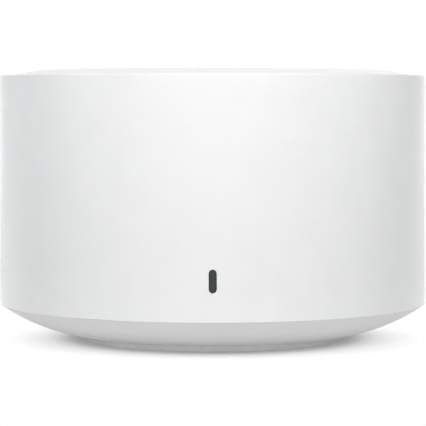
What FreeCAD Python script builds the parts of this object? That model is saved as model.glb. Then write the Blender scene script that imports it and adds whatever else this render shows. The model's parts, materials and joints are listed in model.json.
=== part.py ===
"""Mesh wifi node: a squat white drum with a crowned, perforated top, a status window low on the front,
a dished base on a rubber foot ring, and a recessed port panel at the back.

Frame: millimetres, +Z up, origin at the centre of the foot ring's underside. The status window faces -Y and
the ports face +Y. Every driving size is a cell of the Dims sheet, and each sub-part is an object of the
document that is written to parts/LABEL.step.
"""

import math
import os
import re

import FreeCAD
import Part
import Sketcher

Vector = FreeCAD.Vector
DOWN_THE_AXIS = Vector(0, 0, 1)
SHEET_FUNCTIONS = ("sqrt", "sin", "cos", "tan")

doc = FreeCAD.newDocument("mesh_wifi_node")
kept = []

# ---------------------------------------------------------------- driving dimensions

DIMENSIONS = [
    # enclosure
    ("outer_radius", 53.0),
    ("wall", 2.2),
    ("crease_height", 9.05),
    ("rim_height", 65.4),
    ("rim_fillet", 0.35),
    ("lip_width", 1.4),
    ("lip_depth", 2.2),
    ("ledge_width", 2.0),
    ("ledge_thick", 1.6),
    ("crown_height", 66.8),
    ("crown_flat_radius", 39.0),
    ("crown_arc_radius", 40.0),
    ("cover_thick", 1.8),
    ("cover_gap", 0.1),
    ("skirt_thick", 1.4),
    ("skirt_depth", 3.4),
    ("vent_hole_radius", 0.75),
    ("vent_pitch", 3.0),
    # base
    ("foot_height", 1.8),
    ("foot_radius", 32.9),
    ("foot_top_radius", 33.3),
    ("foot_inner_radius", 25.2),
    ("base_flat_radius", 36.0),
    ("base_arc_radius", 43.0),
    ("base_inner_arc_radius", 41.0),
    ("base_floor", 2.0),
    ("base_lip_thick", 1.6),
    ("base_lip_height", 2.6),
    ("snap_bite", 0.5),
    ("intake_inner_radius", 13.0),
    ("intake_outer_radius", 22.5),
    ("intake_width", 2.0),
    ("label_radius", 10.5),
    ("label_recess", 0.3),
    ("label_thick", 0.2),
    # screws and their bosses
    ("screw_circle", 29.2),
    ("screw_radius", 1.45),
    ("screw_head_radius", 2.9),
    ("screw_head_height", 2.0),
    ("screw_seat", 5.2),
    ("screw_length", 22.0),
    ("boss_radius", 3.5),
    ("boss_bore_radius", 1.6),
    ("boss_shoulder_radius", 4.8),
    ("shoulder_height", 10.2),
    # electronics
    ("board_height", 14.0),
    ("board_thick", 1.6),
    ("board_radius", 47.0),
    ("board_rear", 40.6),
    ("chip_thick", 1.2),
    ("shield_height", 2.4),
    ("shield_skin", 0.3),
    ("pad_thick", 1.0),
    ("plate_thick", 1.6),
    ("sink_size", 33.0),
    ("soc_shield_size", 26.0),
    ("sink_pin_radius", 0.8),
    ("sink_centre_y", -3.0),
    ("sink_base", 2.5),
    ("fin_height", 11.0),
    ("fin_thick", 1.0),
    ("fin_pitch", 3.2),
    # status window
    ("window_height", 18.4),
    ("window_width", 1.8),
    ("window_length", 5.4),
    ("window_recess", 0.35),
    ("window_gap", 0.05),
    # port panel
    ("alcove_half_width", 30.0),
    ("alcove_low", 12.2),
    ("alcove_high", 32.2),
    ("alcove_corner", 3.0),
    ("bezel_gap", 0.1),
    ("bezel_wall", 1.5),
    ("bezel_recess", 0.2),
    ("panel_back", 41.0),
    ("panel_thick", 1.6),
    ("jack_width", 16.0),
    ("jack_height", 13.4),
    ("jack_depth", 18.0),
    ("jack_face", 42.3),
    ("jack_one_x", -4.5),
    ("jack_two_x", 12.8),
    ("jack_gap", 0.15),
    ("plug_width", 11.9),
    ("plug_height", 6.9),
    ("plug_depth", 14.0),
    ("power_x", -18.6),
    ("power_width", 8.94),
    ("power_thick", 3.26),
    ("power_depth", 7.4),
    ("power_skin", 0.3),
    ("button_x", 25.2),
    ("button_height", 19.2),
    ("button_radius", 2.7),
    ("button_gap", 0.1),
    ("switch_width", 5.0),
    ("switch_face", 40.1),
    ("pinhole_x", -26.0),
    ("pinhole_radius", 0.8),
    # antennas
    ("carrier_height", 33.5),
    ("carrier_thick", 2.0),
    ("carrier_radius", 46.5),
    ("carrier_inner_radius", 24.5),
    ("antenna_circle", 43.0),
    ("antenna_width", 22.0),
    ("antenna_tall", 24.0),
    ("antenna_thick", 0.8),
    ("antenna_slot_gap", 0.05),
    ("trace_thick", 0.1),
    ("coax_radius", 0.57),
]

LAN_JACKS = (("lan_jack_one", "jack_one_x"), ("lan_jack_two", "jack_two_x"))
SCREW_ANGLE = 45
SCREW_COUNT = 4
ANTENNA_NAMES = ("front", "right", "rear", "left")
VENT_RINGS = 10
HOLES_IN_FIRST_RING = 6
INTAKE_SLOTS = 20
CONTACTS_PER_JACK = 8
FIN_COUNT = 10

sheet = doc.addObject("Spreadsheet::Sheet", "Dims")
for row, (alias, number) in enumerate(DIMENSIONS, start=1):
    sheet.set(f"A{row}", alias)
    sheet.set(f"B{row}", str(number))
    sheet.setAlias(f"B{row}", alias)
doc.recompute()


# ---------------------------------------------------------------- helpers


def bound(text):
    """The text of a sheet expression, with each alias pointed at the Dims sheet."""
    return re.sub(
        r"[a-z_]+",
        lambda word: word.group() if word.group() in SHEET_FUNCTIONS else "Dims." + word.group(),
        str(text),
    )


def size(text):
    """The number that a sheet expression gives now."""
    return float(sheet.evalExpression(bound(text)))


def bind(thing, **properties):
    """Binds properties of a document object to sheet expressions."""
    for name, text in properties.items():
        thing.setExpression(name, bound(text))
    return thing


def keep(thing, label):
    """Marks an object as a sub-part, named by its label."""
    thing.Label = label
    kept.append(thing)
    return thing


def body(label):
    return keep(doc.addObject("PartDesign::Body", label), label)


def origin_feature(owner, role):
    return next(item for item in owner.Origin.OriginFeatures if item.Role == role)


def sketch(owner, plane="XY_Plane", offset=None):
    """A sketch on one of the body's origin planes, moved along the plane's normal by offset."""
    made = owner.newObject("Sketcher::SketchObject", owner.Label + "_sketch")
    made.AttachmentSupport = [(origin_feature(owner, plane), "")]
    made.MapMode = "FlatFace"
    if offset is not None:
        made.setExpression("AttachmentOffset.Base.z", bound(offset))
    return made


def pin(drawn, edge, end, across, up):
    """Holds one end of an edge at a place given by two expressions."""
    for kind, text, axis in (("DistanceX", across, -2), ("DistanceY", up, -1)):
        number = size(text)
        if abs(number) < 1e-9:
            drawn.addConstraint(Sketcher.Constraint("PointOnObject", edge, end, axis))
        else:
            row = drawn.addConstraint(Sketcher.Constraint(kind, -1, 1, edge, end, number))
            drawn.setExpression(f"Constraints[{row}]", bound(text))


def arc_between(start, end, radius):
    """The short arc from start to end. A positive radius bulges to the right of the way there."""
    middle, chord = (start + end) / 2, end - start
    side = Vector(-chord.y, chord.x, 0).normalize()
    rise = math.sqrt(radius**2 - (chord.Length / 2) ** 2)
    centre = middle + side * math.copysign(rise, radius)
    angles = [math.atan2(p.y - centre.y, p.x - centre.x) for p in (start, end)]
    first, last = angles if radius > 0 else reversed(angles)
    return Part.ArcOfCircle(Part.Circle(centre, DOWN_THE_AXIS, abs(radius)), first, last)


def outline(drawn, corners):
    """Draws a closed outline. A corner is (across, up), or (across, up, radius) where an arc leaves it."""
    places = [Vector(size(c[0]), size(c[1]), 0) for c in corners]
    first_edge, ends = drawn.GeometryCount, []
    for k, corner in enumerate(corners):
        start, end = places[k], places[(k + 1) % len(places)]
        if len(corner) == 3:
            radius = size(corner[2])
            drawn.addGeometry(arc_between(start, end, radius))
            ends.append((1, 2) if radius > 0 else (2, 1))
        else:
            drawn.addGeometry(Part.LineSegment(start, end))
            ends.append((1, 2))
    for k in range(len(corners)):
        following = (k + 1) % len(corners)
        joined = (first_edge + k, ends[k][1], first_edge + following, ends[following][0])
        drawn.addConstraint(Sketcher.Constraint("Coincident", *joined))
    for k, corner in enumerate(corners):
        pin(drawn, first_edge + k, ends[k][0], corner[0], corner[1])
        if len(corner) == 3:
            held = Sketcher.Constraint("Radius", first_edge + k, abs(size(corner[2])))
            row = drawn.addConstraint(held)
            drawn.setExpression(f"Constraints[{row}]", bound(corner[2].lstrip("-")))
    return drawn


def rectangle(drawn, left, low, right, high):
    return outline(drawn, [(left, low), (right, low), (right, high), (left, high)])


def circle(drawn, radius, across="0", up="0"):
    edge = drawn.addGeometry(Part.Circle(Vector(size(across), size(up), 0), DOWN_THE_AXIS, size(radius)))
    row = drawn.addConstraint(Sketcher.Constraint("Radius", edge, size(radius)))
    drawn.setExpression(f"Constraints[{row}]", bound(radius))
    pin(drawn, edge, 3, across, up)
    return drawn


def rounded_rectangle(drawn, left, low, right, high, radius):
    """A closed outline with four quarter arcs, each of the given radius."""
    r = radius
    return outline(
        drawn,
        [
            (f"{left} + {r}", low),
            (f"{right} - ({r})", low, r),
            (right, f"{low} + {r}"),
            (right, f"{high} - ({r})", r),
            (f"{right} - ({r})", high),
            (f"{left} + {r}", high, r),
            (left, f"{high} - ({r})"),
            (left, f"{low} + {r}", r),
        ],
    )


def upright_pill(drawn, width, low, high):
    """A slot outline with round ends, standing on the sketch's vertical axis."""
    half = f"({width}) / 2"
    top, bottom = f"{high} - {half}", f"{low} + {half}"
    r, y_top, y_bottom = size(half), size(top), size(bottom)
    for centre, first in ((y_top, 0), (y_bottom, math.pi)):
        side = r if first == 0 else -r
        other = y_bottom if first == 0 else y_top
        ring = Part.Circle(Vector(0, centre, 0), DOWN_THE_AXIS, r)
        drawn.addGeometry(Part.ArcOfCircle(ring, first, first + math.pi))
        drawn.addGeometry(Part.LineSegment(Vector(-side, centre, 0), Vector(-side, other, 0)))
    for k in range(4):
        drawn.addConstraint(Sketcher.Constraint("Tangent", k, 2, (k + 1) % 4, 1))
    for edge, level in ((0, top), (2, bottom)):
        pin(drawn, edge, 3, "0", level)
        row = drawn.addConstraint(Sketcher.Constraint("Radius", edge, r))
        drawn.setExpression(f"Constraints[{row}]", bound(half))
    return drawn


def feature(owner, kind, drawn, **settings):
    made = owner.newObject("PartDesign::" + kind, f"{owner.Label}_{kind.lower()}")
    made.Profile = drawn
    for name, value in settings.items():
        setattr(made, name, value)
    owner.Tip = made
    return made


def pad(owner, drawn, length, **settings):
    return bind(feature(owner, "Pad", drawn, **settings), Length=length)


def pocket(owner, drawn, length, **settings):
    """Cuts a pocket and checks that it took something away."""
    doc.recompute()
    before = owner.Shape.Volume
    cut = bind(feature(owner, "Pocket", drawn, **settings), Length=length)
    doc.recompute()
    if not owner.Shape.Volume < before - 1e-6:
        raise RuntimeError(f"a pocket in {owner.Label} cuts nothing")
    return cut


def revolve(owner, drawn):
    return feature(owner, "Revolution", drawn, ReferenceAxis=(drawn, ["V_Axis"]), Angle=360)


def polar(owner, originals, count):
    made = owner.newObject("PartDesign::PolarPattern", owner.Label + "_polar")
    made.Originals = originals
    made.Axis = (origin_feature(owner, "Z_Axis"), [""])
    made.Angle = 360
    made.Occurrences = count
    owner.Tip = made
    return made


def linear(owner, originals, axis, spacing, count):
    made = owner.newObject("PartDesign::LinearPattern", owner.Label + "_row")
    made.Originals = originals
    made.Direction = (origin_feature(owner, axis), [""])
    made.Occurrences = count
    bind(made, Length=f"({spacing}) * {count - 1}")
    owner.Tip = made
    return made


def block(name, left, front, low, right, back, high):
    """A Part box between two corners, each side given by an expression."""
    made = doc.addObject("Part::Box", name)
    bind(made, Length=f"{right} - ({left})", Width=f"{back} - ({front})", Height=f"{high} - ({low})")
    for axis, text in (("x", left), ("y", front), ("z", low)):
        made.setExpression(".Placement.Base." + axis, bound(text))
    return made


def rod(name, radius, across, along, low, high):
    """An upright Part cylinder."""
    made = doc.addObject("Part::Cylinder", name)
    bind(made, Radius=radius, Height=f"{high} - ({low})")
    for axis, text in (("x", across), ("y", along), ("z", low)):
        made.setExpression(".Placement.Base." + axis, bound(text))
    return made


def group(label, members):
    """Identical or paired pieces in one node, each still a solid of its own."""
    made = doc.addObject("Part::Compound", label)
    made.Links = members
    return keep(made, label)


def fillet(owner, radius, wanted):
    """Rounds those edges of the body's tip for which wanted(edge) is true."""
    doc.recompute()
    tip = owner.Tip
    names = [f"Edge{k}" for k, edge in enumerate(tip.Shape.Edges, start=1) if wanted(edge)]
    if not names:
        raise RuntimeError(f"no edge of {owner.Label} to round")
    made = owner.newObject("PartDesign::Fillet", owner.Label + "_fillet")
    made.Base = (tip, names)
    owner.Tip = made
    return bind(made, Radius=radius)


def is_ring(edge, radius, height):
    """True for a full circle about the vertical axis."""
    box = edge.BoundBox
    level = abs(box.ZMin - size(height)) < 1e-4 and abs(box.ZMax - size(height)) < 1e-4
    return level and abs(box.XMax - size(radius)) < 1e-3


# ---------------------------------------------------------------- enclosure


def crown_drop(radius):
    """How far the crown's arc has fallen at a radius, as an expression."""
    return f"(crown_arc_radius - sqrt(crown_arc_radius ^ 2 - ({radius} - crown_flat_radius) ^ 2))"


def make_drum_shell():
    """The side wall: a sleeve with a ledge for the cover, a snap groove and the two openings."""
    shell = body("drum_shell")
    inner = "(outer_radius - wall)"
    ledge = "(outer_radius - wall - ledge_width)"
    ledge_top = "(rim_height - lip_depth)"
    groove = f"({inner} + snap_bite)"
    revolve(
        shell,
        outline(
            sketch(shell, "XZ_Plane"),
            [
                (inner, "crease_height"),
                ("outer_radius", "crease_height"),
                ("outer_radius", "rim_height"),
                ("outer_radius - lip_width", "rim_height"),
                ("outer_radius - lip_width", ledge_top),
                (ledge, ledge_top),
                (ledge, f"{ledge_top} - ledge_thick"),
                (inner, f"{ledge_top} - ledge_thick - ledge_width"),
                (inner, "crease_height + 2.3"),
                (groove, "crease_height + 1.9"),
                (groove, "crease_height + 1.1"),
                (inner, "crease_height + 0.9"),
            ],
        ),
    )
    fillet(shell, "rim_fillet", lambda edge: is_ring(edge, "outer_radius", "rim_height"))
    half = "window_length / 2"
    slot = upright_pill(
        sketch(shell, "XZ_Plane"),
        "window_width",
        f"window_height - {half}",
        f"window_height + {half}",
    )
    pocket(shell, slot, "outer_radius + 1", Reversed=True)
    opening = rounded_rectangle(
        sketch(shell, "XZ_Plane"),
        "-alcove_half_width",
        "alcove_low",
        "alcove_half_width",
        "alcove_high",
        "alcove_corner",
    )
    pocket(shell, opening, "outer_radius + 1")


def make_top_cover():
    """The crowned cap: flat in the middle, rounding down to the rim, with rings of vent holes."""
    blank = doc.addObject("PartDesign::Body", "cover_blank")
    edge = "(outer_radius - lip_width - cover_gap)"
    seat = "(rim_height - lip_depth)"
    skirt = "(outer_radius - wall - ledge_width - cover_gap)"
    inner_turn = f"({skirt} - skirt_thick)"
    under = "(crown_height - cover_thick)"
    revolve(
        blank,
        outline(
            sketch(blank, "XZ_Plane"),
            [
                ("0", under),
                ("crown_flat_radius", under, "-(crown_arc_radius - cover_thick)"),
                (inner_turn, f"{under} - {crown_drop(inner_turn)}"),
                (inner_turn, f"{seat} - skirt_depth"),
                (skirt, f"{seat} - skirt_depth"),
                (skirt, seat),
                (edge, seat),
                (edge, f"crown_height - {crown_drop(edge)}", "crown_arc_radius"),
                ("crown_flat_radius", "crown_height"),
                ("0", "crown_height"),
            ],
        ),
    )
    edge_top = f"crown_height - {crown_drop(edge)}"
    fillet(blank, "rim_fillet / 2", lambda ring: is_ring(ring, edge, edge_top))
    hook = rectangle(
        sketch(blank, "XY_Plane", f"{seat} - skirt_depth + 0.2"),
        f"{skirt} - 0.5",
        "-3",
        f"{skirt} + 0.9",
        "3",
    )
    polar(blank, [pad(blank, hook, "0.6")], 6)
    drills = []
    for ring in range(1, VENT_RINGS + 1):
        for hole in range(HOLES_IN_FIRST_RING * ring):
            angle = 2 * math.pi * hole / (HOLES_IN_FIRST_RING * ring)
            radius = size("vent_pitch") * ring
            foot = Vector(radius * math.cos(angle), radius * math.sin(angle), size(f"{under} - 1"))
            drills.append(Part.makeCylinder(size("vent_hole_radius"), size("cover_thick + 2"), foot))
    holes = doc.addObject("Part::Feature", "vent_holes")
    holes.Shape = Part.makeCompound(drills)
    cover = doc.addObject("Part::Cut", "top_cover")
    cover.Base, cover.Tool, cover.Refine = blank, holes, False
    keep(cover, "top_cover")


def make_base_cup():
    """The dished lower housing, with a snap lip, screw bosses, intake slots and a label recess."""
    cup = body("base_cup")
    floor = "(foot_height + base_floor)"
    lip_out = "(outer_radius - wall - 0.15)"
    lip_in = "(outer_radius - wall - 0.15 - base_lip_thick)"
    lip_top = "(crease_height + base_lip_height)"
    revolve(
        cup,
        outline(
            sketch(cup, "XZ_Plane"),
            [
                ("0", "foot_height"),
                ("base_flat_radius", "foot_height", "base_arc_radius"),
                ("outer_radius", "crease_height"),
                (lip_out, "crease_height"),
                (lip_out, lip_top),
                (lip_in, lip_top),
                (lip_in, "crease_height + 0.6", "-base_inner_arc_radius"),
                ("base_flat_radius", floor),
                ("0", floor),
            ],
        ),
    )
    hook = rectangle(
        sketch(cup, "XY_Plane", "crease_height + 1.2"),
        "outer_radius - wall - 1",
        "-3",
        "outer_radius - wall + snap_bite - 0.15",
        "3",
    )
    polar(cup, [pad(cup, hook, "0.6")], 6)
    across = f"screw_circle * cos({SCREW_ANGLE} * 1)"
    stages = (("boss_shoulder_radius", "shoulder_height"), ("boss_radius", "board_height"))
    for radius, top in stages:
        drawn = circle(sketch(cup, "XY_Plane", "foot_height + base_floor / 2"), radius, across, across)
        polar(cup, [pad(cup, drawn, f"{top} - foot_height - base_floor / 2")], SCREW_COUNT)
    bore = circle(sketch(cup, "XY_Plane", "board_height"), "boss_bore_radius", across, across)
    polar(cup, [pocket(cup, bore, "board_height")], SCREW_COUNT)
    seat = circle(sketch(cup, "XY_Plane", "screw_seat"), "screw_head_radius + 0.3", across, across)
    polar(cup, [pocket(cup, seat, "screw_seat")], SCREW_COUNT)
    half = "intake_width / 2"
    slot = rounded_rectangle(
        sketch(cup, "XY_Plane", "foot_height - 1"),
        "intake_inner_radius",
        f"-{half}",
        "intake_outer_radius",
        half,
        "intake_width * 0.45",
    )
    polar(cup, [pocket(cup, slot, "base_floor + 3", Reversed=True)], INTAKE_SLOTS)
    label = circle(sketch(cup, "XY_Plane", "foot_height + label_recess"), "label_radius")
    pocket(cup, label, "label_recess + 1")


def make_foot_ring():
    """The soft ring that the node stands on, which hides the case screws."""
    ring = body("foot_ring")
    revolve(
        ring,
        outline(
            sketch(ring, "XZ_Plane"),
            [
                ("foot_inner_radius", "0"),
                ("foot_radius", "0"),
                ("foot_top_radius", "foot_height"),
                ("foot_inner_radius", "foot_height"),
            ],
        ),
    )


def make_rating_label():
    """A blank round label in the middle of the underside."""
    label = body("rating_label")
    drawn = circle(sketch(label, "XY_Plane", "foot_height + label_recess"), "label_radius - 0.3")
    pad(label, drawn, "label_thick", Reversed=True)


# ---------------------------------------------------------------- status window


def make_status_window():
    """The smoked lens in its slot, the light guide behind it and the lamp on the board's front edge."""
    lens = body("led_lens")
    half = "window_length / 2"
    face = "(outer_radius - window_recess)"
    flange = "(outer_radius - wall - 0.15)"
    plug = upright_pill(
        sketch(lens, "XZ_Plane", flange),
        "window_width - 2 * window_gap",
        f"window_height - {half} + window_gap",
        f"window_height + {half} - window_gap",
    )
    pad(lens, plug, f"{face} - {flange}")
    back = rectangle(
        sketch(lens, "XZ_Plane", flange),
        "-2.1",
        f"window_height - {half} - 1.2",
        "2.1",
        f"window_height + {half} + 1.2",
    )
    pad(lens, back, "0.8", Reversed=True)
    doc.recompute()

    guide = body("light_pipe")
    level = "(board_height + board_thick)"
    beam = outline(
        sketch(guide, "YZ_Plane", "-1.5"),
        [
            (f"-({flange} - 0.85)", f"window_height - {half} - 0.2"),
            ("-46.9", f"{level} + 0.1"),
            ("-46.9", f"{level} + 2.0"),
            (f"-({flange} - 0.85)", f"window_height + {half} + 0.2"),
        ],
    )
    pad(guide, beam, "3")

    lamp = block("status_led", "-1.6", "-46.8", level, "1.6", "-45.2", f"{level} + 1.4")
    keep(lamp, "status_led")


# ---------------------------------------------------------------- board and cooling


def make_main_board():
    """The round circuit board, cut flat at the back behind the port panel, on the four bosses."""
    board = body("main_board")
    pad(board, circle(sketch(board, "XY_Plane", "board_height"), "board_radius"), "board_thick")
    rear = rectangle(
        sketch(board, "XY_Plane", "board_height + board_thick"),
        "-board_radius",
        "board_rear",
        "board_radius",
        "board_radius + 1",
    )
    pocket(board, rear, "board_thick + 1")
    across = f"screw_circle * cos({SCREW_ANGLE} * 1)"
    hole = circle(sketch(board, "XY_Plane", "board_height + board_thick"), "boss_bore_radius", across, across)
    polar(board, [pocket(board, hole, "board_thick + 1")], SCREW_COUNT)
    pocket(board, sink_pin_holes(board, "board_height + board_thick"), "board_thick + 1")


def sink_pin_places():
    """The four corners of the heat sink that its pins go through."""
    reach = "(sink_size / 2 - 1.7)"
    return [(f"{a}{reach}", f"sink_centre_y {b} {reach}") for a in ("-", "") for b in ("-", "+")]


def sink_pin_holes(owner, height):
    drawn = sketch(owner, "XY_Plane", height)
    for across, along in sink_pin_places():
        circle(drawn, "sink_pin_radius + 0.1", across, along)
    return drawn


def make_chips():
    """The packages on the board, under and beside the shields."""
    level = "(board_height + board_thick)"
    top = f"({level} + chip_thick)"
    processor = block("soc_chip", "-7.5", "sink_centre_y - 7.5", level, "7.5", "sink_centre_y + 7.5", top)
    keep(processor, "soc_chip")
    memory = [
        block("memory_a", "-11.8", "sink_centre_y - 12.3", level, "-2.3", "sink_centre_y - 8.3", top),
        block("memory_b", "2.3", "sink_centre_y - 12.3", level, "11.8", "sink_centre_y - 8.3", top),
    ]
    group("memory_chips", memory)
    radios = [
        block("radio_a", "-35", "-9", level, "-27", "-1", top),
        block("radio_b", "27", "-9", level, "35", "-1", top),
    ]
    group("radio_chips", radios)
    transformers = [
        block(f"transformer_{k}", str(left), "14.4", level, str(left + 9.8), "22.4", f"{level} + 3.8")
        for k, left in enumerate((-8.9, 5.6))
    ]
    group("lan_transformers", transformers)
    inductors = [
        block(f"inductor_{k}", str(left), "27.5", level, str(left + 5), "32.5", f"{level} + 3")
        for k, left in enumerate((-32, -26))
    ]
    group("power_inductors", inductors)
    places = ((-34, 16), (-34, 22.5), (-27.5, 20.5), (31, 16), (34, 22.5))
    cans = [
        rod(f"capacitor_{k}", "2.5", str(x), str(y), level, f"{level} + 5.4")
        for k, (x, y) in enumerate(places)
    ]
    group("board_capacitors", cans)


def make_shield(label, left, front, right, back):
    """A pressed metal can, open underneath, with small corner radii and a grid of cooling holes."""
    level = "(board_height + board_thick)"
    can = body(label)
    outer = rounded_rectangle(sketch(can, "XY_Plane", level), left, front, right, back, "1")
    pad(can, outer, "shield_height")
    skin = "shield_skin"
    inside = rounded_rectangle(
        sketch(can, "XY_Plane", level),
        f"{left} + {skin}",
        f"{front} + {skin}",
        f"{right} - {skin}",
        f"{back} - {skin}",
        "0.7",
    )
    pocket(can, inside, f"shield_height - {skin}", Reversed=True)
    return can


def make_shields():
    half = "soc_shield_size / 2"
    make_shield("soc_shield", f"-{half}", f"sink_centre_y - {half}", half, f"sink_centre_y + {half}")
    for label, left, right in (("radio_shield_left", "-40", "-22"), ("radio_shield_right", "22", "40")):
        can = make_shield(label, left, "-12", right, "7")
        top = sketch(can, "XY_Plane", "board_height + board_thick + shield_height")
        hole = circle(top, "0.75", f"{left} + 3", "-9")
        cut = pocket(can, hole, "shield_skin * 2")
        rows = can.newObject("PartDesign::MultiTransform", label + "_grid")
        rows.Originals = [cut]
        steps = []
        for axis, count in (("X_Axis", 5), ("Y_Axis", 5)):
            step = can.newObject("PartDesign::LinearPattern", f"{label}_{axis}")
            step.Direction = (origin_feature(can, axis), [""])
            step.Length, step.Occurrences = 12, count
            steps.append(step)
        rows.Transformations = steps
        can.Tip = rows


def make_cooling():
    """The finned sink with its pads and pins, and the spreader plate under the board."""
    level = "(board_height + board_thick)"
    chip_top, can_top = f"({level} + chip_thick)", f"({level} + shield_height)"
    sink_low = f"({can_top} + pad_thick)"
    low_y, high_y = "sink_centre_y - 7", "sink_centre_y + 7"
    pads = [
        block("soc_pad_inside", "-7", low_y, chip_top, "7", high_y, f"{can_top} - shield_skin"),
        block("soc_pad_outside", "-11", f"{low_y} - 4", can_top, "11", f"{high_y} + 4", sink_low),
    ]
    group("thermal_pads_soc", pads)
    sink = body("heat_sink")
    half = "sink_size / 2"
    front, rear = f"sink_centre_y - {half}", f"sink_centre_y + {half}"
    base = rectangle(sketch(sink, "XY_Plane", sink_low), f"-{half}", front, half, rear)
    pad(sink, base, "sink_base")
    pocket(sink, sink_pin_holes(sink, f"{sink_low} + sink_base"), "sink_base + 1")
    first = f"-(fin_pitch * {(FIN_COUNT - 1) / 2})"
    fin = rectangle(
        sketch(sink, "XY_Plane", f"{sink_low} + sink_base"),
        f"{first} - fin_thick / 2",
        f"{front} + 3.6",
        f"{first} + fin_thick / 2",
        f"{rear} - 3.6",
    )
    linear(sink, [pad(sink, fin, "fin_height")], "X_Axis", "fin_pitch", FIN_COUNT)

    pins = []
    head_low = f"({sink_low} + sink_base)"
    steps = (
        ("head", "1.6", head_low, f"{head_low} + 1.2"),
        ("shank", "sink_pin_radius", "board_height - 0.5", f"{head_low} + 0.6"),
        ("barb", "sink_pin_radius + 0.4", "board_height - 1.1", "board_height"),
    )
    for k, (across, along) in enumerate(sink_pin_places()):
        fused = doc.addObject("Part::MultiFuse", f"sink_pin_{k}")
        fused.Shapes = [
            rod(f"pin_{part}_{k}", radius, across, along, low, high) for part, radius, low, high in steps
        ]
        pins.append(fused)
    group("heat_sink_pins", pins)

    plate = body("heat_plate")
    drawn = circle(sketch(plate, "XY_Plane", "shoulder_height"), "board_radius - 13")
    pad(plate, drawn, "plate_thick")
    across = f"screw_circle * cos({SCREW_ANGLE} * 1)"
    plate_top = "(shoulder_height + plate_thick)"
    clear = circle(sketch(plate, "XY_Plane", plate_top), "boss_radius + 0.1", across, across)
    polar(plate, [pocket(plate, clear, "plate_thick + 1")], SCREW_COUNT)
    slot = rounded_rectangle(sketch(plate, "XY_Plane", plate_top), "16", "-1.5", "27", "1.5", "1.4")
    polar(plate, [pocket(plate, slot, "plate_thick + 1")], 12)
    pads = [
        block("plate_pad_a", "-8", "-8", plate_top, "8", "8", "board_height"),
        block("plate_pad_b", "-33", "-6", plate_top, "-28", "6", "board_height"),
        block("plate_pad_c", "28", "-6", plate_top, "33", "6", "board_height"),
    ]
    group("thermal_pads_plate", pads)


# ---------------------------------------------------------------- port panel


def make_port_bezel():
    """The tray set in the back opening: rounded walls down to a flat panel that the ports come through."""
    blank = doc.addObject("PartDesign::Body", "bezel_blank")
    gap, wall = "bezel_gap", "(bezel_gap + bezel_wall)"
    box = rounded_rectangle(
        sketch(blank, "XZ_Plane", "-(outer_radius + 1)"),
        f"-alcove_half_width + {gap}",
        f"alcove_low + {gap}",
        f"alcove_half_width - {gap}",
        f"alcove_high - {gap}",
        f"alcove_corner - {gap}",
    )
    pad(blank, box, "outer_radius + 1 - panel_back")
    tray = rounded_rectangle(
        sketch(blank, "XZ_Plane", "-(outer_radius + 2)"),
        f"-alcove_half_width + {wall}",
        f"alcove_low + {wall}",
        f"alcove_half_width - {wall}",
        f"alcove_high - {wall}",
        f"alcove_corner - {wall}",
    )
    pocket(blank, tray, "outer_radius + 2 - panel_back - panel_thick", Reversed=True)
    level = "(board_height + board_thick)"
    before_panel = "-(panel_back + panel_thick + 1)"
    jacks = sketch(blank, "XZ_Plane", before_panel)
    for _, x in LAN_JACKS:
        half = "(jack_width / 2 + jack_gap)"
        high = f"{level} + jack_height + jack_gap"
        rectangle(jacks, f"{x} - {half}", f"{level} - jack_gap", f"{x} + {half}", high)
    half = "(power_width / 2 + jack_gap)"
    power = rounded_rectangle(
        sketch(blank, "XZ_Plane", before_panel),
        f"power_x - {half}",
        f"{level} - jack_gap",
        f"power_x + {half}",
        f"{level} + power_thick + jack_gap",
        "power_thick / 2",
    )
    round_holes = sketch(blank, "XZ_Plane", before_panel)
    circle(round_holes, "button_radius + button_gap", "button_x", "button_height")
    circle(round_holes, "pinhole_radius", "pinhole_x", "button_height")
    for drawn in (jacks, power, round_holes):
        pocket(blank, drawn, "panel_thick + 3", Reversed=True)
    outside = "(alcove_half_width - bezel_gap)"
    for side in ("-", ""):
        ear = outline(
            sketch(blank, "XY_Plane", "alcove_high - 8.5"),
            [
                (f"{side}({outside} - bezel_wall)", "panel_back + 0.5"),
                (f"{side}({outside} - bezel_wall)", "panel_back - 2.4"),
                (f"{side}({outside} + 1.2)", "panel_back - 2.4"),
                (f"{side}({outside} + 1.2)", "panel_back - 1.4"),
                (f"{side}{outside}", "panel_back - 1.4"),
                (f"{side}{outside}", "panel_back + 0.5"),
            ],
        )
        pad(blank, ear, "6")
    drum = rod("bezel_trim", "outer_radius - bezel_recess", "0", "0", "0", "rim_height")
    trimmed = doc.addObject("Part::Common", "port_bezel")
    trimmed.Base, trimmed.Tool = blank, drum
    keep(trimmed, "port_bezel")


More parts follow.
